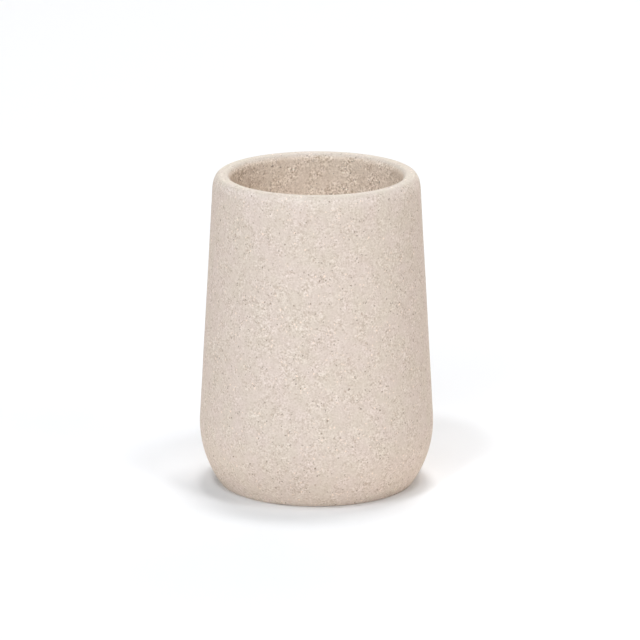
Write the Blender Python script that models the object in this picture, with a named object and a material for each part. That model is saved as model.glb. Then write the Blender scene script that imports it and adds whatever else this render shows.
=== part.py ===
"""Stone-effect bathroom tumbler for toothbrushes: one resin casting on a die-cut foam foot.

Units are metres and +Z is up. The origin is the middle of the face that the tumbler stands on.
The casting is turned about +Z. Its side leans in from a rounded belly to a soft rim, and its bore
narrows slightly downwards, as a mould core does so that it can be drawn. The foot lies in a shallow
recess under the base, held by a disc of double-sided tape, and stands slightly proud of the casting.
"""

import math

import bmesh
import bpy

# Casting, outside
CASTING_HEIGHT = 0.110
BELLY_DIAMETER = 0.0816
BELLY_LEVEL = 0.0217
BASE_DIAMETER = 0.0671
BASE_EDGE_RADIUS = 0.0006
RIM_DIAMETER = 0.0716
SHOULDER_WIDTH = 0.0022
SHOULDER_HEIGHT = 0.0050

# Casting, inside
RIM_WALL = 0.0060
LIP_WIDTH = 0.0018
LIP_HEIGHT = 0.0026
BORE_DRAFT = math.radians(1.0)
BORE_CORNER_RADIUS = 0.0090
FLOOR_THICKNESS = 0.0075

# Foot recess, foot pad and its tape
BASE_RING_WIDTH = 0.0045
RECESS_EDGE_RADIUS = 0.0004
PAD_THICKNESS = 0.0020
PAD_PROUD = 0.0002
PAD_EDGE_RADIUS = 0.0003
TAPE_THICKNESS = 0.0005
TAPE_INSET = 0.0010
SIDE_CLEARANCE = 0.0004
FACE_CLEARANCE = 0.0003

# Facets
TURN_STEPS = 72
BELLY_STEPS = 14
SHOULDER_STEPS = 9
LIP_STEPS = 6
BORE_CORNER_STEPS = 9
SMALL_EDGE_STEPS = 3
SHARP_EDGE_ANGLE = math.radians(40.0)
SAME_POINT = 1e-7

UP = math.radians(90.0)
DOWN = math.radians(-90.0)
INWARD = math.radians(180.0)
FULL_TURN = math.radians(360.0)


def arc(centre, radius, start, end, steps):
    """Points (r, z) on an arc about centre, from the angle start to the angle end, both included."""
    centre_r, centre_z = centre
    points = []
    for step in range(steps + 1):
        angle = start + (end - start) * step / steps
        points.append((centre_r + radius * math.cos(angle), centre_z + radius * math.sin(angle)))
    return points


class OuterForm:
    """The casting's outside: a belly arc that the base cuts off, and a straight side above it."""

    def __init__(self):
        self.base = PAD_PROUD
        self.rim = PAD_PROUD + CASTING_HEIGHT
        belly_radius = BELLY_DIAMETER / 2
        tuck = belly_radius - BASE_DIAMETER / 2
        # The arc stands upright at the belly's level and meets the base's plane at the base diameter.
        self.arc_radius = (tuck**2 + BELLY_LEVEL**2) / (2 * tuck)
        self.arc_centre = (belly_radius - self.arc_radius, self.base + BELLY_LEVEL)
        # The side is the tangent to the arc that reaches the rim's level at the rim's radius.
        across = RIM_DIAMETER / 2 - self.arc_centre[0]
        above = self.rim - self.arc_centre[1]
        reach = math.hypot(across, above)
        self.lean = math.atan2(above, across) - math.acos(self.arc_radius / reach)
        # The small round at the base's edge touches the base's plane and the belly arc from within.
        round_drop = BELLY_LEVEL - BASE_EDGE_RADIUS
        round_reach = self.arc_radius - BASE_EDGE_RADIUS
        round_across = math.sqrt(round_reach**2 - round_drop**2)
        self.base_round_centre = (self.arc_centre[0] + round_across, self.base + BASE_EDGE_RADIUS)
        self.base_round_end = -math.asin(round_drop / round_reach)

    def side_radius(self, level):
        """Radius of the straight side at a height, also where the shoulder has left it."""
        return RIM_DIAMETER / 2 + (self.rim - level) * math.tan(self.lean)

    def base_and_belly(self):
        """Points from the base's plane, round its edge and up the belly to where the side starts."""
        edge = arc(self.base_round_centre, BASE_EDGE_RADIUS, DOWN, self.base_round_end, SMALL_EDGE_STEPS)
        belly = arc(self.arc_centre, self.arc_radius, self.base_round_end, self.lean, BELLY_STEPS)
        return edge + belly[1:]

    def shoulder(self):
        """Points from the side up to the crown: a quarter ellipse laid over the leaning side."""
        points = []
        for step in range(SHOULDER_STEPS + 1):
            angle = UP * step / SHOULDER_STEPS
            level = self.rim - SHOULDER_HEIGHT * (1 - math.sin(angle))
            points.append((self.side_radius(level) - SHOULDER_WIDTH * (1 - math.cos(angle)), level))
        return points


class Recess:
    """The shallow round recess under the base, with the levels of what lies in it."""

    def __init__(self, outer):
        self.radius = outer.base_round_centre[0] - BASE_RING_WIDTH
        self.pad_top = PAD_THICKNESS
        self.tape_bottom = self.pad_top + FACE_CLEARANCE
        self.tape_top = self.tape_bottom + TAPE_THICKNESS
        self.ceiling = self.tape_top + FACE_CLEARANCE

    def profile(self, base):
        """Points from the axis across the ceiling and down the wall to the base's plane."""
        edge_centre = (self.radius + RECESS_EDGE_RADIUS, base + RECESS_EDGE_RADIUS)
        edge = arc(edge_centre, RECESS_EDGE_RADIUS, INWARD, INWARD + UP, SMALL_EDGE_STEPS)
        return [(0, self.ceiling), (self.radius, self.ceiling)] + edge


def lip_profile(rim):
    """Points from the crown over the lip: a quarter ellipse that ends where it runs along the bore's wall."""
    mouth_radius = RIM_DIAMETER / 2 - RIM_WALL
    leave = math.atan(LIP_WIDTH / (LIP_HEIGHT * math.tan(BORE_DRAFT)))
    points = []
    for step in range(LIP_STEPS + 1):
        angle = leave * step / LIP_STEPS
        across = LIP_WIDTH * (1 - math.sin(angle))
        down = LIP_HEIGHT * (1 - math.cos(angle))
        points.append((mouth_radius + across, rim - down))
    return points


def bore_profile(outer, recess):
    """Points from the crown over the lip, down the leaning bore and across its floor to the axis."""
    lip = lip_profile(outer.rim)
    wall_r, wall_z = lip[-1]
    corner_z = recess.ceiling + FLOOR_THICKNESS + BORE_CORNER_RADIUS
    # The corner's centre lies a corner radius away from the leaning wall, measured square to it.
    from_wall = BORE_CORNER_RADIUS / math.cos(BORE_DRAFT)
    corner_r = wall_r - (wall_z - corner_z) * math.tan(BORE_DRAFT) - from_wall
    corner = arc((corner_r, corner_z), BORE_CORNER_RADIUS, -BORE_DRAFT, DOWN, BORE_CORNER_STEPS)
    return lip + corner + [(0, recess.ceiling + FLOOR_THICKNESS)]


def disc_profile(radius, bottom, top, edge_radius):
    """Points round a disc from the axis below to the axis above, with both edges slightly rounded."""
    low_centre = (radius - edge_radius, bottom + edge_radius)
    high_centre = (radius - edge_radius, top - edge_radius)
    low = arc(low_centre, edge_radius, DOWN, 0, SMALL_EDGE_STEPS)
    high = arc(high_centre, edge_radius, 0, UP, SMALL_EDGE_STEPS)
    return [(0, bottom)] + low + high + [(0, top)]


def square_disc_profile(radius, bottom, top):
    """Points round a disc with square edges, from the axis below to the axis above."""
    return [(0, bottom), (radius, bottom), (radius, top), (0, top)]


def turned(name, profile, material):
    """An object turned about +Z from profile points (r, z) that start and end on the axis."""
    shape = bmesh.new()
    corners = [shape.verts.new((radius, 0, level)) for radius, level in profile]
    edges = [shape.edges.new(pair) for pair in zip(corners, corners[1:])]
    bmesh.ops.spin(
        shape,
        geom=corners + edges,
        cent=(0, 0, 0),
        axis=(0, 0, 1),
        angle=FULL_TURN,
        steps=TURN_STEPS,
        use_merge=True,
    )
    bmesh.ops.remove_doubles(shape, verts=shape.verts, dist=SAME_POINT)
    bmesh.ops.recalc_face_normals(shape, faces=shape.faces)
    mesh = bpy.data.meshes.new(name)
    shape.to_mesh(mesh)
    shape.free()
    mesh.shade_smooth()
    mesh.set_sharp_from_angle(angle=SHARP_EDGE_ANGLE)
    mesh.materials.append(material)
    made = bpy.data.objects.new(name, mesh)
    bpy.context.scene.collection.objects.link(made)
    return made


def surface(name, colour, roughness):
    """A non-metallic Principled material; the colour is linear."""
    material = bpy.data.materials.new(name)
    material.use_nodes = True
    shader = material.node_tree.nodes["Principled BSDF"]
    shader.inputs["Base Color"].default_value = (*colour, 1)
    shader.inputs["Roughness"].default_value = roughness
    shader.inputs["Metallic"].default_value = 0
    return material


def tumbler_body(outer, recess):
    """The casting: recess, base ring, belly, side, shoulder, crown, lip and bore in one outline."""
    sandstone = surface("sandstone_resin", colour=(0.70, 0.61, 0.54), roughness=0.75)
    outline = (
        recess.profile(outer.base) + outer.base_and_belly() + outer.shoulder() + bore_profile(outer, recess)
    )
    return turned("tumbler_body", outline, sandstone)


def foot_pad(recess):
    """The foam disc that the tumbler stands on."""
    foam = surface("eva_foam", colour=(0.10, 0.095, 0.09), roughness=0.9)
    radius = recess.radius - SIDE_CLEARANCE
    return turned("foot_pad", disc_profile(radius, 0, recess.pad_top, PAD_EDGE_RADIUS), foam)


def pad_tape(recess):
    """The double-sided tape that holds the foot in its recess."""
    adhesive = surface("adhesive_tape", colour=(0.80, 0.79, 0.75), roughness=0.5)
    radius = recess.radius - SIDE_CLEARANCE - TAPE_INSET
    outline = square_disc_profile(radius, recess.tape_bottom, recess.tape_top)
    return turned("pad_tape", outline, adhesive)


def main():
    for leftover in list(bpy.data.objects):
        bpy.data.objects.remove(leftover)
    outer = OuterForm()
    recess = Recess(outer)
    tumbler_body(outer, recess)
    foot_pad(recess)
    pad_tape(recess)


main()
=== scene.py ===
"""Looks of a stone-effect bathroom tumbler for toothbrushes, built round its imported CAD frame.

The tumbler is one casting of polyester resin filled with stone powder and sand. It stands on a die-cut
foam foot, which a disc of double-sided tape holds in a shallow recess under the base. Lengths are metres
in the frame's own axes, with +Z up and the floor at zero. A point (r, z) is a distance from the upright
axis and a height.
"""

from __future__ import annotations

import logging
import math
from dataclasses import dataclass
from enum import Enum
from itertools import pairwise

import bpy
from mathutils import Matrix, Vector
from mathutils.kdtree import KDTree


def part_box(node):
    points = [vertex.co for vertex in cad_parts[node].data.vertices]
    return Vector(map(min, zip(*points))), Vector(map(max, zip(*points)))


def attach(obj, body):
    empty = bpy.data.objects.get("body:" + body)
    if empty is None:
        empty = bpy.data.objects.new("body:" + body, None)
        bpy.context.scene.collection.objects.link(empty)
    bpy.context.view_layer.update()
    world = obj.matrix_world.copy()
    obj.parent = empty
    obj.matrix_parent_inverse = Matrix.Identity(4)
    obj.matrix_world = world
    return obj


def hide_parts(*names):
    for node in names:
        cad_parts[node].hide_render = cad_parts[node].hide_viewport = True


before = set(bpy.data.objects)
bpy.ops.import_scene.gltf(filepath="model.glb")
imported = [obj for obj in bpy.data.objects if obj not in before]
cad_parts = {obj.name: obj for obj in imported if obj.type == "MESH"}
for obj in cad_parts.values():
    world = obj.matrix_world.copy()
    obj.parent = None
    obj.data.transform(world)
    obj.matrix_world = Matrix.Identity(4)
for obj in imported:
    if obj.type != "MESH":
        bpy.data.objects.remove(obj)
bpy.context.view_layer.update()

Point = tuple[float, float]
Colour = tuple[float, float, float, float]
MapPlace = tuple[Point, Point]

BAKE_MAP = "OFBake"
SAME_POINT = 1e-6
SHARP_EDGE = math.radians(40.0)

# A noise texture's values crowd round a half, and this stretch of them is spread over the whole range.
NOISE_LOW = 0.35
NOISE_HIGH = 0.65

# A Mix node's sockets for its share, its two colours and their mix. The others take numbers and vectors.
MIX_SHARE = 0
MIX_FIRST = 6
MIX_SECOND = 7
MIXED = 2

log = logging.getLogger("tumbler")


class Heading(Enum):
    """Where an arc's end lies as seen from its centre, in the plane of an outline."""

    OUTWARD = 0.0
    UP = math.radians(90.0)
    INWARD = math.radians(180.0)
    DOWN = math.radians(-90.0)


class Slot(Enum):
    """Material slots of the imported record."""

    CASTING = "sandstone_resin"
    FOOT = "eva_foam"
    TAPE = "adhesive_tape"


class Layout(Enum):
    """How a stretch of a turned surface lies in its bake map."""

    STRIP = "strip"
    DISC = "disc"


@dataclass(frozen=True)
class Patch:
    """A stretch of an outline, from station first to station last, and its place in the bake map.

    The place is a corner and a size, as shares of the map. A strip fills it and a disc is centred in it.
    """

    first: int
    last: int
    layout: Layout
    place: MapPlace


def linear(colour: str) -> Colour:
    """Turns an sRGB colour into the linear one that shaders take, by the sRGB standard's own curve.

    Args:
        colour: Six hex digits after a hash sign.

    Returns:
        Linear red, green and blue, and an alpha of 1.
    """
    channels = [int(colour[start : start + 2], 16) / 255 for start in (1, 3, 5)]
    red, green, blue = (c / 12.92 if c <= 0.04045 else ((c + 0.055) / 1.055) ** 2.4 for c in channels)
    return red, green, blue, 1.0


def per_metre(millimetres: float) -> float:
    """Returns the texture scale whose cells or waves are that many millimetres apart."""
    return 1000.0 / millimetres


def add_node(
    tree: bpy.types.NodeTree, kind: str, inputs: dict[str | int, object], **settings: object
) -> bpy.types.Node:
    """Adds a node, sets it and links it.

    Args:
        tree: The node tree that it joins.
        kind: The node's type name.
        inputs: For each input socket, by name or number, the output that feeds it or its value.
        **settings: The node's own properties.

    Returns:
        The new node.
    """
    made = tree.nodes.new(kind)
    for name, value in settings.items():
        setattr(made, name, value)
    for socket, value in inputs.items():
        if isinstance(value, bpy.types.NodeSocket):
            tree.links.new(value, made.inputs[socket])
        else:
            made.inputs[socket].default_value = value
    return made


def empty_tree(owner: bpy.types.Material | bpy.types.World) -> bpy.types.NodeTree:
    """Clears a material's or a world's node tree.

    Args:
        owner: What the tree belongs to.

    Returns:
        The tree, without nodes.
    """
    owner.use_nodes = True
    owner.node_tree.nodes.clear()
    return owner.node_tree


def arc(centre: Point, radius: float, start: float, end: float, steps: int) -> list[Point]:
    """Draws an arc from the angle start to the angle end.

    Args:
        centre: The arc's centre.
        radius: Its radius.
        start: The angle that it starts at.
        end: The angle that it ends at.
        steps: The equal steps between the two.

    Returns:
        Its points, both ends included.
    """
    turn = (end - start) / steps
    angles = [start + turn * step for step in range(steps + 1)]
    return [(centre[0] + radius * math.cos(a), centre[1] + radius * math.sin(a)) for a in angles]


def straight(start: Point, end: Point, steps: int) -> list[Point]:
    """Divides a straight run into equal steps.

    Args:
        start: Where the run starts.
        end: Where it ends.
        steps: How many steps it is divided into.

    Returns:
        The points between the steps, without the run's two ends.
    """
    return [
        (start[0] + (end[0] - start[0]) * step / steps, start[1] + (end[1] - start[1]) * step / steps)
        for step in range(1, steps)
    ]


def turned(name: str, outline: list[Point], steps: int) -> bpy.types.Object:
    """Draws an outline corner by corner from a single vertex and spins it once round the upright axis.

    Args:
        name: The new object's name.
        outline: Points (r, z) that start and end on the axis.
        steps: Facets in one turn.

    Returns:
        The closed piece at the origin, its faces pointing outwards.
    """
    bpy.ops.object.select_all(action="DESELECT")
    bpy.ops.mesh.primitive_plane_add(size=SAME_POINT)
    made = bpy.context.active_object
    made.name = made.data.name = name
    bpy.ops.object.mode_set(mode="EDIT")
    bpy.ops.mesh.select_all(action="SELECT")
    bpy.ops.mesh.merge(type="CENTER")
    bpy.ops.transform.translate(value=(outline[0][0], 0.0, outline[0][1]))
    for (here_r, here_z), (there_r, there_z) in pairwise(outline):
        step = (there_r - here_r, 0.0, there_z - here_z)
        bpy.ops.mesh.extrude_region_move(TRANSFORM_OT_translate={"value": step})
    bpy.ops.mesh.select_all(action="SELECT")
    bpy.ops.mesh.spin(steps=steps, angle=math.tau, center=(0.0, 0.0, 0.0), axis=(0.0, 0.0, 1.0))
    bpy.ops.mesh.select_all(action="SELECT")
    bpy.ops.mesh.remove_doubles(threshold=SAME_POINT)
    bpy.ops.mesh.normals_make_consistent(inside=False)
    bpy.ops.object.mode_set(mode="OBJECT")
    bpy.ops.object.shade_smooth_by_angle(angle=SHARP_EDGE)
    return made


def unwrap(piece: bpy.types.Object, outline: list[Point], patches: list[Patch]) -> None:
    """Gives a turned piece a bake map in which strips unroll its walls and discs hold its flat ends.

    Args:
        piece: The object that was turned from the outline, before anything bends it.
        outline: The points (r, z) that it was turned from.
        patches: The stretches of the outline, in order, that share the map.
    """
    stations = KDTree(len(outline))
    for index, (radius, level) in enumerate(outline):
        stations.insert((radius, level, 0.0), index)
    stations.balance()
    mesh = piece.data
    station = [stations.find((math.hypot(v.co.x, v.co.y), v.co.z, 0.0))[1] for v in mesh.vertices]
    along = [0.0]
    for here, there in pairwise(outline):
        along.append(along[-1] + math.dist(here, there))
    places = mesh.uv_layers.new(name=BAKE_MAP).data
    for face in mesh.polygons:
        lowest = min(station[v] for v in face.vertices)
        patch = next(p for p in patches if lowest < p.last)
        facing = math.atan2(face.center.x, -face.center.y)
        length = along[patch.last] - along[patch.first]
        for corner in face.loop_indices:
            vertex = mesh.vertices[mesh.loops[corner].vertex_index]
            share = (along[station[vertex.index]] - along[patch.first]) / length
            # A vertex on the seam takes the end of the map that its face lies at.
            angle = math.atan2(vertex.co.x, -vertex.co.y)
            angle += math.tau * round((facing - angle) / math.tau)
            if patch.layout is Layout.STRIP:
                across, up = angle / math.tau + 0.5, share
            else:
                reach = 0.5 * (share if patch.first == 0 else 1.0 - share)
                across, up = 0.5 + reach * math.sin(angle), 0.5 - reach * math.cos(angle)
            (left, bottom), (width, height) = patch.place
            places[corner].uv = (left + across * width, bottom + up * height)


@dataclass(frozen=True)
class Grit:
    """One size of grain in the resin: how far apart its grains can lie, how large they are and their colours.

    Sizes and softness are shares of the spacing. Each kind is a share of the places and a colour, and the
    places that no kind takes stay plain.
    """

    spacing_mm: float
    smallest: float
    largest: float
    softness: float
    kinds: tuple[tuple[float, str], ...]

    def fill_ramp(self, ramp: bpy.types.ColorRamp) -> None:
        """Gives each kind a band as wide as its share, and the places that stay plain a clear band.

        Args:
            ramp: The new colour ramp in which a cell looks up its grain.
        """
        ramp.interpolation = "CONSTANT"
        stops, start = [], 0.0
        for share, colour in self.kinds:
            stops.append((start, linear(colour)))
            start += share
        stops.append((start, (*linear(self.kinds[-1][1])[:3], 0.0)))
        ramp.elements[1].position, ramp.elements[1].color = stops[-1]
        ramp.elements[0].color = stops[0][1]
        for position, colour in stops[1:-1]:
            ramp.elements.new(position).color = colour

    def strew(
        self,
        tree: bpy.types.NodeTree,
        place: bpy.types.NodeSocket,
        crowding: bpy.types.NodeSocket,
        ground: bpy.types.NodeSocket,
    ) -> tuple[bpy.types.NodeSocket, bpy.types.NodeSocket]:
        """Strews the grains over a ground colour.

        Args:
            tree: The material's node tree.
            place: The coordinates that the grains lie in.
            crowding: The share of the grains that is kept, from 0 to 1.
            ground: The colour between the grains.

        Returns:
            The colour with its grains, and how far each point is covered by a grain.
        """
        cells = add_node(tree, "ShaderNodeTexVoronoi", {"Vector": place, "Scale": per_metre(self.spacing_mm)})
        lots = add_node(tree, "ShaderNodeSeparateColor", {"Color": cells.outputs["Color"]})
        chosen = add_node(tree, "ShaderNodeValToRGB", {"Fac": lots.outputs["Red"]})
        self.fill_ramp(chosen.color_ramp)
        kept = add_node(
            tree, "ShaderNodeMath", {0: lots.outputs["Green"], 1: crowding}, operation="LESS_THAN"
        )
        size = add_node(
            tree,
            "ShaderNodeMapRange",
            {"Value": lots.outputs["Blue"], "To Min": self.smallest, "To Max": self.largest},
        )
        inner = add_node(
            tree, "ShaderNodeMath", {0: size.outputs["Result"], 1: self.softness}, operation="SUBTRACT"
        )
        dot = add_node(
            tree,
            "ShaderNodeMapRange",
            {
                "Value": cells.outputs["Distance"],
                "From Min": inner.outputs[0],
                "From Max": size.outputs["Result"],
                "To Min": 1.0,
                "To Max": 0.0,
            },
            interpolation_type="SMOOTHSTEP",
        )
        there = add_node(
            tree, "ShaderNodeMath", {0: chosen.outputs["Alpha"], 1: kept.outputs[0]}, operation="MULTIPLY"
        )
        cover = add_node(
            tree, "ShaderNodeMath", {0: there.outputs[0], 1: dot.outputs["Result"]}, operation="MULTIPLY"
        )
        mixed = add_node(
            tree,
            "ShaderNodeMix",
            {MIX_SHARE: cover.outputs[0], MIX_FIRST: ground, MIX_SECOND: chosen.outputs["Color"]},
            data_type="RGBA",
        )
        return mixed.outputs[MIXED], cover.outputs[0]


@dataclass(frozen=True)
class SandstoneResin:
    """Sandstone polyresin: resin filled with stone powder and sand, cast in a soft mould and rubbed matt.

    The eye gets a dry pinkish beige with soft warm clouds, finely mottled all over, with dark, brown and
    pale grains that crowd together in some places and thin out in others. The bore stays as it leaves the
    mould, so it is more mottled, and painted light makes it and the recess paler and warmer, for the light
    bounced round inside the cup. The top of the rim is rubbed smoother, and painted shade darkens it and
    tints it creamier.
    """

    name: str = "sandstone_polyresin"
    pink_body: str = "#DBCEC7"
    yellow_body: str = "#D9CEC4"
    cloud_mm: float = 8.0
    # Painted light: a paler, warmer colour laid over the bore and the recess, for light bounced round inside
    # the cup.
    bounce_light_colour: str = "#EDDBC8"
    bounce_light_share: float = 0.66
    crowding_mm: float = 4.5
    patch_detail: float = 2.0
    # The share of the grains that is left where they lie thinnest.
    sparsest: float = 0.3
    # Real stone powder and dust are finer than a pixel, so both are drawn as coarse as they need to show.
    powder_mm: float = 2.4
    powder_detail: float = 3.0
    powder_roughness: float = 0.9
    powder_contrast: float = 0.45
    dust_mm: float = 0.65
    dust_detail: float = 1.0
    dust_contrast: float = 0.74
    # How strongly powder and dust show where the grains lie thin and where they crowd.
    calm: float = 0.45
    busy: float = 1.5
    mottle_tint: tuple[float, float, float] = (0.84, 1.0, 1.16)
    # Stirring bends the grains out of the round, as poured sand lies.
    stir_mm: float = 0.8
    stir_detail: float = 1.0
    stir_reach: float = 0.0011
    grits: tuple[Grit, ...] = (
        Grit(
            spacing_mm=0.72,
            smallest=0.25,
            largest=0.62,
            softness=0.32,
            kinds=((0.15, "#A69588"), (0.18, "#C4B2A5"), (0.14, "#F4E4D8")),
        ),
        Grit(
            spacing_mm=2.4,
            smallest=0.10,
            largest=0.20,
            softness=0.10,
            kinds=((0.06, "#968679"), (0.06, "#F9E9DC")),
        ),
    )
    bore_radius: float = 0.0300
    lip: float = 0.0006
    unrubbed: float = 1.95
    crown_level: float = 0.1086
    crown_height: float = 0.0016
    crown_rubbed: float = 0.6
    # Painted shade: a darker, creamier tint that the top of the rim is multiplied by, against the light from
    # above.
    crown_shade_tint: str = "#F1F2EE"
    relief: float = 0.00004
    roughness: float = 0.74
    roughness_spread: float = 0.08
    specular: float = 0.35

    def bore_share(self, tree: bpy.types.NodeTree, place: bpy.types.NodeSocket) -> bpy.types.NodeSocket:
        """Tells the surfaces that nobody rubs down, which also take the painted bounced light, from the
        others.

        Args:
            tree: The material's node tree.
            place: Object coordinates.

        Returns:
            1 in the bore and in the recess, and 0 on the lip, the crown and the outside.
        """
        parts = add_node(tree, "ShaderNodeSeparateXYZ", {"Vector": place})
        level = add_node(tree, "ShaderNodeCombineXYZ", {"X": parts.outputs["X"], "Y": parts.outputs["Y"]})
        radius = add_node(tree, "ShaderNodeVectorMath", {0: level.outputs[0]}, operation="LENGTH")
        share = add_node(
            tree,
            "ShaderNodeMapRange",
            {
                "Value": radius.outputs["Value"],
                "From Min": self.bore_radius,
                "From Max": self.bore_radius + self.lip,
                "To Min": 1.0,
                "To Max": 0.0,
            },
        )
        return share.outputs["Result"]

    def crown_share(self, tree: bpy.types.NodeTree, place: bpy.types.NodeSocket) -> bpy.types.NodeSocket:
        """Tells the top of the rim, which rubbing and hands leave smoother and which painted shade darkens,
        from the rest.

        Args:
            tree: The material's node tree.
            place: Object coordinates.

        Returns:
            1 on top of the rim and 0 below the crown.
        """
        parts = add_node(tree, "ShaderNodeSeparateXYZ", {"Vector": place})
        reach = {"From Min": self.crown_level, "From Max": self.crown_level + self.crown_height}
        return add_node(tree, "ShaderNodeMapRange", {"Value": parts.outputs["Z"], **reach}).outputs["Result"]

    def rawness(
        self, tree: bpy.types.NodeTree, bore: bpy.types.NodeSocket, crown: bpy.types.NodeSocket
    ) -> bpy.types.NodeSocket:
        """Works out how rough the grit shows.

        Args:
            tree: The material's node tree.
            bore: 1 on the surfaces that nobody rubs down.
            crown: 1 on top of the rim.

        Returns:
            1 on the rubbed outside, less on the crown and more in the bore.
        """
        raw = add_node(tree, "ShaderNodeMapRange", {"Value": bore, "To Min": 1.0, "To Max": self.unrubbed})
        rubbed = add_node(
            tree, "ShaderNodeMapRange", {"Value": crown, "To Min": 1.0, "To Max": self.crown_rubbed}
        )
        both = add_node(
            tree,
            "ShaderNodeMath",
            {0: raw.outputs["Result"], 1: rubbed.outputs["Result"]},
            operation="MULTIPLY",
        )
        return both.outputs[0]

    def ground(
        self, tree: bpy.types.NodeTree, place: bpy.types.NodeSocket, bore: bpy.types.NodeSocket
    ) -> bpy.types.NodeSocket:
        """Mixes the body's two tints in soft clouds and lays painted light over the bore and the recess: a
        paler, warmer colour for the light bounced round inside the cup.

        Args:
            tree: The material's node tree.
            place: Object coordinates.
            bore: 1 in the bore and the recess, where the bounced light is painted.

        Returns:
            The colour under the mottling and the grit.
        """
        clouds = add_node(
            tree,
            "ShaderNodeTexNoise",
            {"Vector": place, "Scale": per_metre(self.cloud_mm), "Detail": self.patch_detail},
        )
        warmth = add_node(
            tree,
            "ShaderNodeMapRange",
            {"Value": clouds.outputs["Fac"], "From Min": NOISE_LOW, "From Max": NOISE_HIGH},
        )
        body = add_node(
            tree,
            "ShaderNodeMix",
            {
                MIX_SHARE: warmth.outputs["Result"],
                MIX_FIRST: linear(self.pink_body),
                MIX_SECOND: linear(self.yellow_body),
            },
            data_type="RGBA",
        )
        # Painted light: the bore and the recess are made paler and warmer, for light bounced round inside the
        # cup.
        bounce_light = add_node(tree, "ShaderNodeMath", {0: bore, 1: self.bounce_light_share}, operation="MULTIPLY")
        bounce_lit = add_node(
            tree,
            "ShaderNodeMix",
            {MIX_SHARE: bounce_light.outputs[0], MIX_FIRST: body.outputs[MIXED], MIX_SECOND: linear(self.bounce_light_colour)},
            data_type="RGBA",
        )
        return bounce_lit.outputs[MIXED]

    def crowding(self, tree: bpy.types.NodeTree, place: bpy.types.NodeSocket) -> bpy.types.NodeSocket:
        """Works out where the grains crowd together and where they thin out.

        Args:
            tree: The material's node tree.
            place: Object coordinates.

        Returns:
            The share of the grains that is there, from the sparsest to 1.
        """
        patches = add_node(
            tree,
            "ShaderNodeTexNoise",
            {"Vector": place, "Scale": per_metre(self.crowding_mm), "Detail": self.patch_detail},
        )
        spread = {"From Min": NOISE_LOW, "From Max": NOISE_HIGH, "To Min": self.sparsest, "To Max": 1.0}
        share = add_node(tree, "ShaderNodeMapRange", {"Value": patches.outputs["Fac"], **spread})
        return share.outputs["Result"]

    def mottle(
        self,
        tree: bpy.types.NodeTree,
        place: bpy.types.NodeSocket,
        powder: bpy.types.NodeSocket,
        crowding: bpy.types.NodeSocket,
        rawness: bpy.types.NodeSocket,
    ) -> bpy.types.NodeSocket:
        """Works out the fine light and dark that powder and dust give.

        Args:
            tree: The material's node tree.
            place: Object coordinates.
            powder: The powder's noise.
            crowding: The share of the grains that is there.
            rawness: How rough the grit shows.

        Returns:
            A tone round white, by which the ground is multiplied.
        """
        dust = add_node(
            tree,
            "ShaderNodeTexNoise",
            {"Vector": place, "Scale": per_metre(self.dust_mm), "Detail": self.dust_detail},
        )
        # Both noises swing round a half, and taking away their middle makes the tone swing round white.
        middle = -0.5 * (self.powder_contrast + self.dust_contrast)
        finer = add_node(
            tree,
            "ShaderNodeMath",
            {0: dust.outputs["Fac"], 1: self.dust_contrast, 2: middle},
            operation="MULTIPLY_ADD",
        )
        both = add_node(
            tree,
            "ShaderNodeMath",
            {0: powder, 1: self.powder_contrast, 2: finer.outputs[0]},
            operation="MULTIPLY_ADD",
        )
        spread = {"From Min": self.sparsest, "From Max": 1.0, "To Min": self.calm, "To Max": self.busy}
        patchy = add_node(tree, "ShaderNodeMapRange", {"Value": crowding, **spread})
        uneven = add_node(
            tree, "ShaderNodeMath", {0: both.outputs[0], 1: patchy.outputs["Result"]}, operation="MULTIPLY"
        )
        uneven = add_node(tree, "ShaderNodeMath", {0: uneven.outputs[0], 1: rawness}, operation="MULTIPLY")
        tone = add_node(
            tree,
            "ShaderNodeVectorMath",
            {0: uneven.outputs[0], 1: self.mottle_tint, 2: (1.0, 1.0, 1.0)},
            operation="MULTIPLY_ADD",
        )
        return tone.outputs[0]

    def stirred(self, tree: bpy.types.NodeTree, place: bpy.types.NodeSocket) -> bpy.types.NodeSocket:
        """Shifts the coordinates a little this way and that, so that the grains aren't round.

        Args:
            tree: The material's node tree.
            place: Object coordinates.

        Returns:
            The coordinates that the grains lie in.
        """
        swirl = add_node(
            tree,
            "ShaderNodeTexNoise",
            {"Vector": place, "Scale": per_metre(self.stir_mm), "Detail": self.stir_detail},
        )
        shift = add_node(
            tree,
            "ShaderNodeVectorMath",
            {0: swirl.outputs["Color"], "Scale": self.stir_reach},
            operation="SCALE",
        )
        moved = add_node(tree, "ShaderNodeVectorMath", {0: place, 1: shift.outputs[0]}, operation="ADD")
        return moved.outputs[0]

    def material(self) -> bpy.types.Material:
        """Builds the finish on object coordinates.

        Returns:
            The node material.
        """
        made = bpy.data.materials.new(self.name)
        tree = empty_tree(made)
        place = add_node(tree, "ShaderNodeTexCoord", {}).outputs["Object"]
        bore, crown = self.bore_share(tree, place), self.crown_share(tree, place)
        ground, crowding = self.ground(tree, place, bore), self.crowding(tree, place)
        rawness = self.rawness(tree, bore, crown)
        powder = add_node(
            tree,
            "ShaderNodeTexNoise",
            {
                "Vector": place,
                "Scale": per_metre(self.powder_mm),
                "Detail": self.powder_detail,
                "Roughness": self.powder_roughness,
            },
        )
        tone = self.mottle(tree, place, powder.outputs["Fac"], crowding, rawness)
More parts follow.
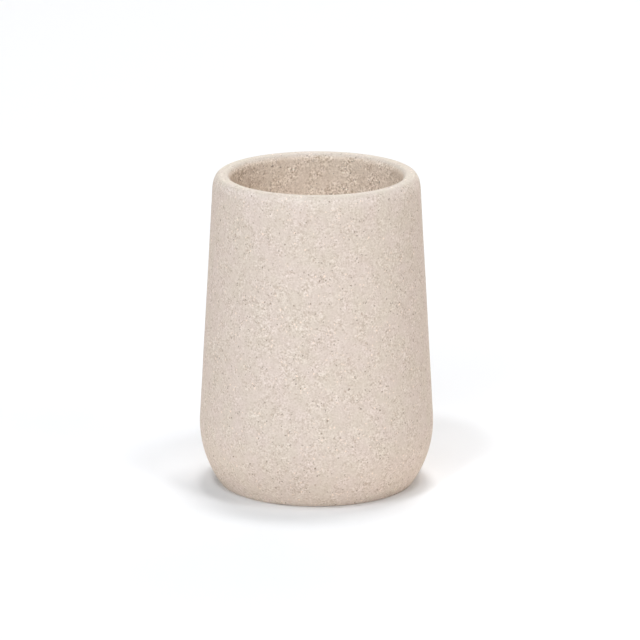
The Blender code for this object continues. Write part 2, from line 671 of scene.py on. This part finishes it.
        # Painted shade: the top of the rim is darkened and tinted creamier, against the light falling on it
        # from above.
        crown_shaded = add_node(
            tree,
            "ShaderNodeMix",
            {MIX_SHARE: crown, MIX_FIRST: linear("#FFFFFF"), MIX_SECOND: linear(self.crown_shade_tint)},
            data_type="RGBA",
        )
        toned = add_node(
            tree, "ShaderNodeVectorMath", {0: tone, 1: crown_shaded.outputs[MIXED]}, operation="MULTIPLY"
        )
        mottled = add_node(
            tree, "ShaderNodeVectorMath", {0: ground, 1: toned.outputs[0]}, operation="MULTIPLY"
        )
        thinned = add_node(tree, "ShaderNodeMath", {0: rawness, 1: 1.0}, operation="MINIMUM")
        crowded = add_node(tree, "ShaderNodeMath", {0: crowding, 1: thinned.outputs[0]}, operation="MULTIPLY")
        stirred = self.stirred(tree, place)
        colour, height = mottled.outputs[0], powder.outputs["Fac"]
        covers = []
        for grit in self.grits:
            colour, cover = grit.strew(tree, stirred, crowded.outputs[0], colour)
            covers.append(cover)
            height = add_node(tree, "ShaderNodeMath", {0: height, 1: cover}, operation="ADD").outputs[0]
        relief = add_node(
            tree, "ShaderNodeBump", {"Height": height, "Distance": self.relief, "Strength": 1.0}
        )
        # The resin between the grains is drier than the stone of the finer ones.
        resin, stone = self.roughness + self.roughness_spread / 2, self.roughness - self.roughness_spread
        dryness = add_node(tree, "ShaderNodeMapRange", {"Value": covers[0], "To Min": resin, "To Max": stone})
        shader = add_node(
            tree,
            "ShaderNodeBsdfPrincipled",
            {
                "Base Color": colour,
                "Roughness": dryness.outputs["Result"],
                "Specular IOR Level": self.specular,
                "Normal": relief.outputs["Normal"],
            },
        )
        add_node(tree, "ShaderNodeOutputMaterial", {"Surface": shader.outputs["BSDF"]})
        return made


@dataclass(frozen=True)
class EvaFoam:
    """Closed-cell EVA foam, split from a block and die cut: dark, dull and pricked with tiny open cells."""

    name: str = "closed_cell_eva_foam"
    skin: str = "#4A4845"
    # Painted shade: the darker colour of the open cells' cores, where shade falls in them.
    cell: str = "#343230"
    scuff: str = "#6B6863"
    # Real cells are 0.1 to 0.2 mm across and wouldn't show, so they are drawn coarser.
    cell_mm: float = 0.45
    cell_core: float = 0.1
    cell_edge: float = 0.55
    cell_relief: float = 0.00006
    cell_depth: float = 0.8
    scuff_mm: float = 7.0
    scuff_detail: float = 5.0
    scuff_start: float = 0.52
    scuff_full: float = 0.78
    scuff_share: float = 0.5
    roughness: float = 0.9

    def material(self) -> bpy.types.Material:
        """Builds the finish on object coordinates.

        Returns:
            The node material.
        """
        made = bpy.data.materials.new(self.name)
        tree = empty_tree(made)
        place = add_node(tree, "ShaderNodeTexCoord", {}).outputs["Object"]
        cells = add_node(tree, "ShaderNodeTexVoronoi", {"Vector": place, "Scale": per_metre(self.cell_mm)})
        hollow_and_shade = add_node(
            tree,
            "ShaderNodeMapRange",
            {"Value": cells.outputs["Distance"], "From Min": self.cell_core, "From Max": self.cell_edge},
        )
        # Painted shade: the cells' cores are darker than the skin, as shade falls in the hollows.
        foam = add_node(
            tree,
            "ShaderNodeMix",
            {
                MIX_SHARE: hollow_and_shade.outputs["Result"],
                MIX_FIRST: linear(self.cell),
                MIX_SECOND: linear(self.skin),
            },
            data_type="RGBA",
        )
        rubbing = add_node(
            tree,
            "ShaderNodeTexNoise",
            {"Vector": place, "Scale": per_metre(self.scuff_mm), "Detail": self.scuff_detail},
        )
        spread = {"From Min": self.scuff_start, "From Max": self.scuff_full, "To Max": self.scuff_share}
        rubbed = add_node(tree, "ShaderNodeMapRange", {"Value": rubbing.outputs["Fac"], **spread})
        worn = add_node(
            tree,
            "ShaderNodeMix",
            {
                MIX_SHARE: rubbed.outputs["Result"],
                MIX_FIRST: foam.outputs[MIXED],
                MIX_SECOND: linear(self.scuff),
            },
            data_type="RGBA",
        )
        relief = add_node(
            tree,
            "ShaderNodeBump",
            {"Height": hollow_and_shade.outputs["Result"], "Distance": self.cell_relief, "Strength": self.cell_depth},
        )
        shader = add_node(
            tree,
            "ShaderNodeBsdfPrincipled",
            {
                "Base Color": worn.outputs[MIXED],
                "Roughness": self.roughness,
                "Normal": relief.outputs["Normal"],
            },
        )
        add_node(tree, "ShaderNodeOutputMaterial", {"Surface": shader.outputs["BSDF"]})
        return made


@dataclass(frozen=True)
class TissueTape:
    """Double-sided tissue tape: tacky acrylic adhesive on a paper tissue, which shows as fine pale fibres."""

    name: str = "double_sided_tissue_tape"
    glue: str = "#E3DDCB"
    fibre: str = "#F3F0E6"
    # Real fibres are a few hundredths of a millimetre thick and wouldn't show, so they are drawn coarser.
    fibre_mm: float = 0.6
    fibre_detail: float = 4.0
    fibre_curl: float = 2.5
    fibre_start: float = 0.42
    fibre_full: float = 0.62
    fibre_relief: float = 0.00001
    roughness: float = 0.42

    def material(self) -> bpy.types.Material:
        """Builds the finish on object coordinates.

        Returns:
            The node material.
        """
        made = bpy.data.materials.new(self.name)
        tree = empty_tree(made)
        place = add_node(tree, "ShaderNodeTexCoord", {}).outputs["Object"]
        tissue = add_node(
            tree,
            "ShaderNodeTexNoise",
            {
                "Vector": place,
                "Scale": per_metre(self.fibre_mm),
                "Detail": self.fibre_detail,
                "Distortion": self.fibre_curl,
            },
        )
        strands = add_node(
            tree,
            "ShaderNodeMapRange",
            {"Value": tissue.outputs["Fac"], "From Min": self.fibre_start, "From Max": self.fibre_full},
        )
        mixed = add_node(
            tree,
            "ShaderNodeMix",
            {
                MIX_SHARE: strands.outputs["Result"],
                MIX_FIRST: linear(self.glue),
                MIX_SECOND: linear(self.fibre),
            },
            data_type="RGBA",
        )
        relief = add_node(
            tree,
            "ShaderNodeBump",
            {"Height": tissue.outputs["Fac"], "Distance": self.fibre_relief, "Strength": 1.0},
        )
        shader = add_node(
            tree,
            "ShaderNodeBsdfPrincipled",
            {
                "Base Color": mixed.outputs[MIXED],
                "Roughness": self.roughness,
                "Normal": relief.outputs["Normal"],
            },
        )
        add_node(tree, "ShaderNodeOutputMaterial", {"Surface": shader.outputs["BSDF"]})
        return made


@dataclass
class TumblerCasting:
    """The one-piece casting: recess, base ring, belly, leaning side, soft rim, lip and bore.

    The sizes repeat those of the CAD source. The heights and the belly's radius are read from the
    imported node, so that the casting stands exactly where the node does.
    """

    node: str = "tumbler_body"
    belly_level: float = 0.0217
    base_diameter: float = 0.0671
    base_edge_radius: float = 0.0006
    rim_diameter: float = 0.0716
    shoulder_width: float = 0.0022
    shoulder_height: float = 0.0050
    rim_wall: float = 0.0060
    lip_width: float = 0.0018
    lip_height: float = 0.0026
    bore_draft: float = math.radians(1.0)
    bore_corner_radius: float = 0.0090
    floor_level: float = 0.0106
    recess_ceiling: float = 0.0031
    base_ring_width: float = 0.0045
    recess_edge_radius: float = 0.0004
    turn_steps: int = 240
    ceiling_steps: int = 12
    recess_edge_steps: int = 4
    ring_steps: int = 4
    base_edge_steps: int = 6
    belly_steps: int = 28
    side_steps: int = 44
    shoulder_steps: int = 18
    crown_steps: int = 4
    lip_steps: int = 14
    bore_steps: int = 44
    bore_corner_steps: int = 18
    floor_steps: int = 10
    underside_map: MapPlace = ((0.725, 0.245), (0.25, 0.25))
    outside_map: MapPlace = ((0.01, 0.52), (0.98, 0.47))
    bore_map: MapPlace = ((0.01, 0.01), (0.69, 0.49))
    floor_map: MapPlace = ((0.735, 0.01), (0.225, 0.225))
    wave_length: float = 0.026
    wave_height: float = 0.00012
    finish: SandstoneResin = SandstoneResin()

    def __post_init__(self) -> None:
        """Takes the casting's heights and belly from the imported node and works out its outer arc."""
        lowest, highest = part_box(self.node)
        self.base, self.rim = lowest.z, highest.z
        belly = highest.x
        tuck = belly - self.base_diameter / 2
        self.arc_radius = (tuck**2 + self.belly_level**2) / (2 * tuck)
        self.arc_centre = (belly - self.arc_radius, self.base + self.belly_level)
        across = self.rim_diameter / 2 - self.arc_centre[0]
        above = self.rim - self.arc_centre[1]
        self.lean = math.atan2(above, across) - math.acos(self.arc_radius / math.hypot(across, above))

    def side_radius(self, level: float) -> float:
        """Returns the radius of the leaning side at a height, also where the shoulder has left it."""
        return self.rim_diameter / 2 + (self.rim - level) * math.tan(self.lean)

    def underside(self) -> list[Point]:
        """Draws the outline from the axis across the recess and the base ring to the belly's arc.

        Returns:
            Its points, the last one where the belly's arc starts.
        """
        drop = self.belly_level - self.base_edge_radius
        reach = self.arc_radius - self.base_edge_radius
        edge_centre = (self.arc_centre[0] + math.sqrt(reach**2 - drop**2), self.base + self.base_edge_radius)
        self.arc_start = -math.asin(drop / reach)
        recess = edge_centre[0] - self.base_ring_width
        inner_centre = (recess + self.recess_edge_radius, self.base + self.recess_edge_radius)
        axis, corner = (0.0, self.recess_ceiling), (recess, self.recess_ceiling)
        inner_start, inner_end = Heading.INWARD.value, Heading.INWARD.value + Heading.UP.value
        inner = arc(inner_centre, self.recess_edge_radius, inner_start, inner_end, self.recess_edge_steps)
        outer_start, outer_end = Heading.DOWN.value, self.arc_start
        outer = arc(edge_centre, self.base_edge_radius, outer_start, outer_end, self.base_edge_steps)
        ceiling = [axis, *straight(axis, corner, self.ceiling_steps), corner]
        return [*ceiling, *inner, *straight(inner[-1], outer[0], self.ring_steps), *outer]

    def outside(self) -> list[Point]:
        """Draws the outline from the base's round up the belly and the side to the crown.

        Returns:
            Its points, without the one that the underside ends with.
        """
        belly = arc(self.arc_centre, self.arc_radius, self.arc_start, self.lean, self.belly_steps)
        shoulder = []
        for step in range(self.shoulder_steps + 1):
            angle = Heading.UP.value * step / self.shoulder_steps
            level = self.rim - self.shoulder_height * (1 - math.sin(angle))
            shoulder.append((self.side_radius(level) - self.shoulder_width * (1 - math.cos(angle)), level))
        return [*belly[1:], *straight(belly[-1], shoulder[0], self.side_steps), *shoulder]

    def inside(self) -> list[Point]:
        """Draws the outline from the crown over the lip and down the bore to the axis.

        Returns:
            Its points.
        """
        mouth = self.rim_diameter / 2 - self.rim_wall
        # The lip's quarter ellipse ends where it runs along the bore's draft.
        leave = math.atan(self.lip_width / (self.lip_height * math.tan(self.bore_draft)))
        lip = []
        for step in range(self.lip_steps + 1):
            angle = leave * step / self.lip_steps
            across, down = self.lip_width * (1 - math.sin(angle)), self.lip_height * (1 - math.cos(angle))
            lip.append((mouth + across, self.rim - down))
        corner_z = self.floor_level + self.bore_corner_radius
        corner_r = lip[-1][0] - (lip[-1][1] - corner_z) * math.tan(self.bore_draft)
        corner_r -= self.bore_corner_radius / math.cos(self.bore_draft)
        corner_start, corner_end = -self.bore_draft, Heading.DOWN.value
        corner = arc(
            (corner_r, corner_z), self.bore_corner_radius, corner_start, corner_end, self.bore_corner_steps
        )
        middle = (0.0, self.floor_level)
        wall = straight(lip[-1], corner[0], self.bore_steps)
        return [*lip, *wall, *corner, *straight(corner[-1], middle, self.floor_steps), middle]

    def build(self) -> bpy.types.Object:
        """Turns the casting, unrolls its bake map, makes it slightly wavy, as a pour is, and dresses it.

        Returns:
            The casting, riding on the root body in place of its CAD node.
        """
        under, outside, inside = self.underside(), self.outside(), self.inside()
        crown = straight(outside[-1], inside[0], self.crown_steps)
        outline = [*under, *outside, *crown, *inside]
        piece = turned("sandstone_casting", outline, self.turn_steps)
        foot_edge = len(under) - 1
        mouth = foot_edge + len(outside) + self.crown_steps // 2
        bore_corner = mouth + self.crown_steps // 2 + self.lip_steps + self.bore_steps
        patches = [
            Patch(0, foot_edge, Layout.DISC, self.underside_map),
            Patch(foot_edge, mouth, Layout.STRIP, self.outside_map),
            Patch(mouth, bore_corner, Layout.STRIP, self.bore_map),
            Patch(bore_corner, len(outline) - 1, Layout.DISC, self.floor_map),
        ]
        unwrap(piece, outline, patches)
        self.wave(piece)
        piece.data.materials.append(self.finish.material())
        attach(piece, "root")
        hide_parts(self.node)
        return piece

    def wave(self, piece: bpy.types.Object) -> None:
        """Bends the surface by a few hundredths of a millimetre, in waves a thumb's width long.

        Args:
            piece: The casting, which is the active object.
        """
        clouds = bpy.data.textures.new("casting_waves", "CLOUDS")
        clouds.noise_scale = self.wave_length
        bpy.ops.object.modifier_add(type="DISPLACE")
        waves = piece.modifiers[-1]
        waves.texture = clouds
        waves.texture_coords = "LOCAL"
        waves.strength = self.wave_height
        # At this middle level the surface only moves inwards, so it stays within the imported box.
        waves.mid_level = 1.0
        bpy.ops.object.modifier_apply(modifier=waves.name)


@dataclass
class FoamFoot:
    """The die-cut foam disc under the base and the tape that holds it in the recess."""

    node: str = "foot_pad"
    tape_node: str = "pad_tape"
    edge_radius: float = 0.0003
    squeeze: float = 0.00005
    turn_steps: int = 160
    face_steps: int = 12
    edge_steps: int = 6
    wall_steps: int = 6
    underside_map: MapPlace = ((0.01, 0.45), (0.48, 0.48))
    edge_map: MapPlace = ((0.01, 0.05), (0.98, 0.3))
    top_map: MapPlace = ((0.51, 0.45), (0.48, 0.48))
    fill: float = 1.0
    foam: EvaFoam = EvaFoam()
    tape: TissueTape = TissueTape()

    def outline(self) -> list[Point]:
        """Draws the foot's outline from the axis below to the axis above, its edge slightly hollow.

        Returns:
            Its points.
        """
        lowest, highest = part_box(self.node)
        radius, bottom, top = highest.x, lowest.z, highest.z
        inset = radius - self.edge_radius
        low_centre, high_centre = (inset, bottom + self.edge_radius), (inset, top - self.edge_radius)
        outward, up, down = Heading.OUTWARD.value, Heading.UP.value, Heading.DOWN.value
        low = arc(low_centre, self.edge_radius, down, outward, self.edge_steps)
        high = arc(high_centre, self.edge_radius, outward, up, self.edge_steps)
        wall = [
            (r - self.squeeze * math.sin(math.pi * step / self.wall_steps), z)
            for step, (r, z) in enumerate(straight(low[-1], high[0], self.wall_steps), start=1)
        ]
        under, over = (0.0, bottom), (0.0, top)
        below = [under, *straight(under, low[0], self.face_steps)]
        return [*below, *low, *wall, *high, *straight(high[-1], over, self.face_steps), over]

    def build(self) -> bpy.types.Object:
        """Turns the foam disc and dresses it.

        Returns:
            The foam disc, riding on the root body in place of its CAD node.
        """
        outline = self.outline()
        piece = turned("foam_foot", outline, self.turn_steps)
        last = len(outline) - 1
        # A third of each rounded edge goes with the flat face beside it.
        turn = self.face_steps + self.edge_steps // 3
        patches = [
            Patch(0, turn, Layout.DISC, self.underside_map),
            Patch(turn, last - turn, Layout.STRIP, self.edge_map),
            Patch(last - turn, last, Layout.DISC, self.top_map),
        ]
        unwrap(piece, outline, patches)
        piece.data.materials.append(self.foam.material())
        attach(piece, "root")
        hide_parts(self.node)
        return piece

    def dress_tape(self) -> bpy.types.Object:
        """Gives the CAD node of the tape its finish.

        Returns:
            The CAD node.
        """
        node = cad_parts[self.tape_node]
        node.material_slots[0].material = self.tape.material()
        return node


@dataclass(frozen=True)
class Softbox:
    """A square soft light that faces the tumbler.

    Its angles are in degrees. The azimuth is 0 in front of the tumbler and 90 to its right, as the camera
    sees it.
    """

    name: str
    azimuth: float
    elevation: float
    side: float
    watts: float
    colour: str

    def hang(self, target: Vector, reach: float) -> bpy.types.Object:
        """Hangs the lamp.

        Args:
            target: The point that it faces.
            reach: Its distance from the floor's middle.

        Returns:
            The lamp.
        """
        azimuth, elevation = math.radians(self.azimuth), math.radians(self.elevation)
        out = Vector((math.sin(azimuth), -math.cos(azimuth), 0.0)) * math.cos(elevation)
        place = (out + Vector((0.0, 0.0, math.sin(elevation)))) * reach
        data = bpy.data.lights.new(self.name, "AREA")
        data.shape, data.size = "SQUARE", self.side
        data.energy, data.color = self.watts, linear(self.colour)[:3]
        made = bpy.data.objects.new(self.name, data)
        made.location = place
        made.rotation_euler = (target - place).to_track_quat("-Z", "Y").to_euler()
        made.visible_camera = False
        bpy.context.scene.collection.objects.link(made)
        return made


@dataclass
class Studio:
    """A white paper table under four small high lamps and six broad fills, and a long lens.

    The small lamps give the two wings and the crisp edge of the shadow, and the fills light the sides. The
    paper throws warm light back onto the tumbler. As the camera sees it, it is faintly blue, which makes up
    for the casting's own warm light on it, and close round the foot it glows a little, where bounced light
    softens the dark line.
    """

    floor_size: float = 6.0
    floor_paper: str = "#FFF6EC"
    floor_seen: str = "#F1F2F4"
    foot_glow: str = "#FFF3E9"
    foot_glow_strength: float = 0.14
    foot_glow_start: float = 0.0333
    foot_glow_end: float = 0.0346
    lamp_reach: float = 3.0
    camera_distance: float = 2.0
    camera_elevation: float = math.radians(14.96)
    camera_target: tuple[float, float, float] = (0.0, 0.0, 0.0552)
    look_at: tuple[float, float, float] = (0.00122, 0.00065, 0.05763)
    lens_mm: float = 323.4
    sensor_mm: float = 36.0
    # Name, azimuth, elevation, side in metres, watts and colour.
    softboxes: tuple[Softbox, ...] = (
        Softbox("high_front_left", 330, 64, 0.3, 16.5, "#F6FBFF"),
        Softbox("high_front_right", 51, 71, 0.4, 13.2, "#FAFCFF"),
        Softbox("overhead_right", 135, 80, 0.4, 16.0, "#FFFFFE"),
        Softbox("overhead_back", 180, 80, 0.4, 17.6, "#FFFDFD"),
        Softbox("front_left_fill", 335, 28, 1.5, 18.8, "#F3FAFF"),
        Softbox("front_fill", 0, 28, 1.5, 20.4, "#F2FAFF"),
        Softbox("front_right_fill", 52, 41, 1.2, 14.6, "#FFF9F0"),
        Softbox("left_fill", 270, 28, 1.5, 12.0, "#F9FCFC"),
        Softbox("back_fill", 180, 30, 2.0, 23.0, "#FFFCFA"),
        Softbox("back_right_fill", 150, 30, 2.0, 18.6, "#FFFAF4"),
    )

    def floor(self) -> bpy.types.Object:
        """Lays a paper floor that goes white under the camera but keeps the object's shadow.

        Returns:
            The floor.
        """
        bpy.ops.object.select_all(action="DESELECT")
        bpy.ops.mesh.primitive_plane_add(size=self.floor_size)
        made = bpy.context.active_object
        made.name = "studio_floor"
        material = bpy.data.materials.new("white_table_paper")
        tree = empty_tree(material)
        paper = add_node(tree, "ShaderNodeBsdfDiffuse", {"Color": linear(self.floor_paper)})
        bright = add_node(tree, "ShaderNodeBsdfDiffuse", {"Color": linear(self.floor_seen)})
        glow = add_node(
            tree,
            "ShaderNodeEmission",
            {"Color": linear(self.foot_glow), "Strength": self.glow_strength(tree)},
        )
        lifted = add_node(tree, "ShaderNodeAddShader", {0: bright.outputs[0], 1: glow.outputs[0]})
        shown = add_node(
            tree,
            "ShaderNodeMixShader",
            {0: self.seen_share(tree), 1: paper.outputs[0], 2: lifted.outputs[0]},
        )
        add_node(tree, "ShaderNodeOutputMaterial", {"Surface": shown.outputs[0]})
        made.data.materials.append(material)
        return made

    def glow_strength(self, tree: bpy.types.NodeTree) -> bpy.types.NodeSocket:
        """Works out the glow of the seen paper from the distance to the tumbler's axis.

        Args:
            tree: The floor's node tree.

        Returns:
            The full strength under the foot, which falls to 0 a little outside it.
        """
        place = add_node(tree, "ShaderNodeTexCoord", {}).outputs["Object"]
        radius = add_node(tree, "ShaderNodeVectorMath", {0: place}, operation="LENGTH")
        fade = add_node(
            tree,
            "ShaderNodeMapRange",
            {
                "Value": radius.outputs["Value"],
                "From Min": self.foot_glow_start,
                "From Max": self.foot_glow_end,
                "To Min": self.foot_glow_strength,
                "To Max": 0.0,
            },
        )
        return fade.outputs["Result"]

    def seen_share(self, tree: bpy.types.NodeTree) -> bpy.types.NodeSocket:
        """Tells the rays that show the background from those that light the object.

        Args:
            tree: The node tree of the floor or of the world.

        Returns:
            1 for camera, mirror and clear rays, and 0 for the others.
        """
        path = add_node(tree, "ShaderNodeLightPath", {})
        seen = path.outputs["Is Camera Ray"]
        for kind in ("Is Glossy Ray", "Is Transmission Ray"):
            either = add_node(tree, "ShaderNodeMath", {0: seen, 1: path.outputs[kind]}, operation="MAXIMUM")
            seen = either.outputs[0]
        return seen

    def backdrop(self) -> None:
        """Puts a white background behind the set that lights nothing."""
        world = bpy.data.worlds.new("white_backdrop")
        bpy.context.scene.world = world
        tree = empty_tree(world)
        white = {"Color": linear("#FFFFFF"), "Strength": self.seen_share(tree)}
        shown = add_node(tree, "ShaderNodeBackground", white)
        add_node(tree, "ShaderNodeOutputWorld", {"Surface": shown.outputs[0]})

    def camera(self) -> bpy.types.Object:
        """Sets up the camera at the photograph's angle.

        Returns:
            The camera, which is the scene's own.
        """
        data = bpy.data.cameras.new("product_camera")
        data.lens, data.sensor_width = self.lens_mm, self.sensor_mm
        made = bpy.data.objects.new("product_camera", data)
        away = Vector((0.0, -math.cos(self.camera_elevation), math.sin(self.camera_elevation)))
        made.location = Vector(self.camera_target) + away * self.camera_distance
        made.rotation_euler = (Vector(self.look_at) - made.location).to_track_quat("-Z", "Y").to_euler()
        bpy.context.scene.collection.objects.link(made)
        bpy.context.scene.camera = made
        return made

    def build(self) -> None:
        """Lays the floor, hangs the backdrop and the lights, and sets up the camera."""
        self.floor()
        self.backdrop()
        for softbox in self.softboxes:
            softbox.hang(Vector(self.camera_target), self.lamp_reach)
        self.camera()
        bpy.context.scene.view_settings.view_transform = "Standard"


def main() -> None:
    """Builds the tumbler's pieces and the studio round them."""
    logging.basicConfig(level=logging.INFO, format="%(name)s: %(message)s")
    casting = TumblerCasting().build()
    log.info("%s: %d faces", casting.name, len(casting.data.polygons))
    foot = FoamFoot()
    pad = foot.build()
    log.info("%s: %d faces", pad.name, len(pad.data.polygons))
    log.info("%s: dressed", foot.dress_tape().name)
    Studio().build()


if __name__ == "__main__":
    main()
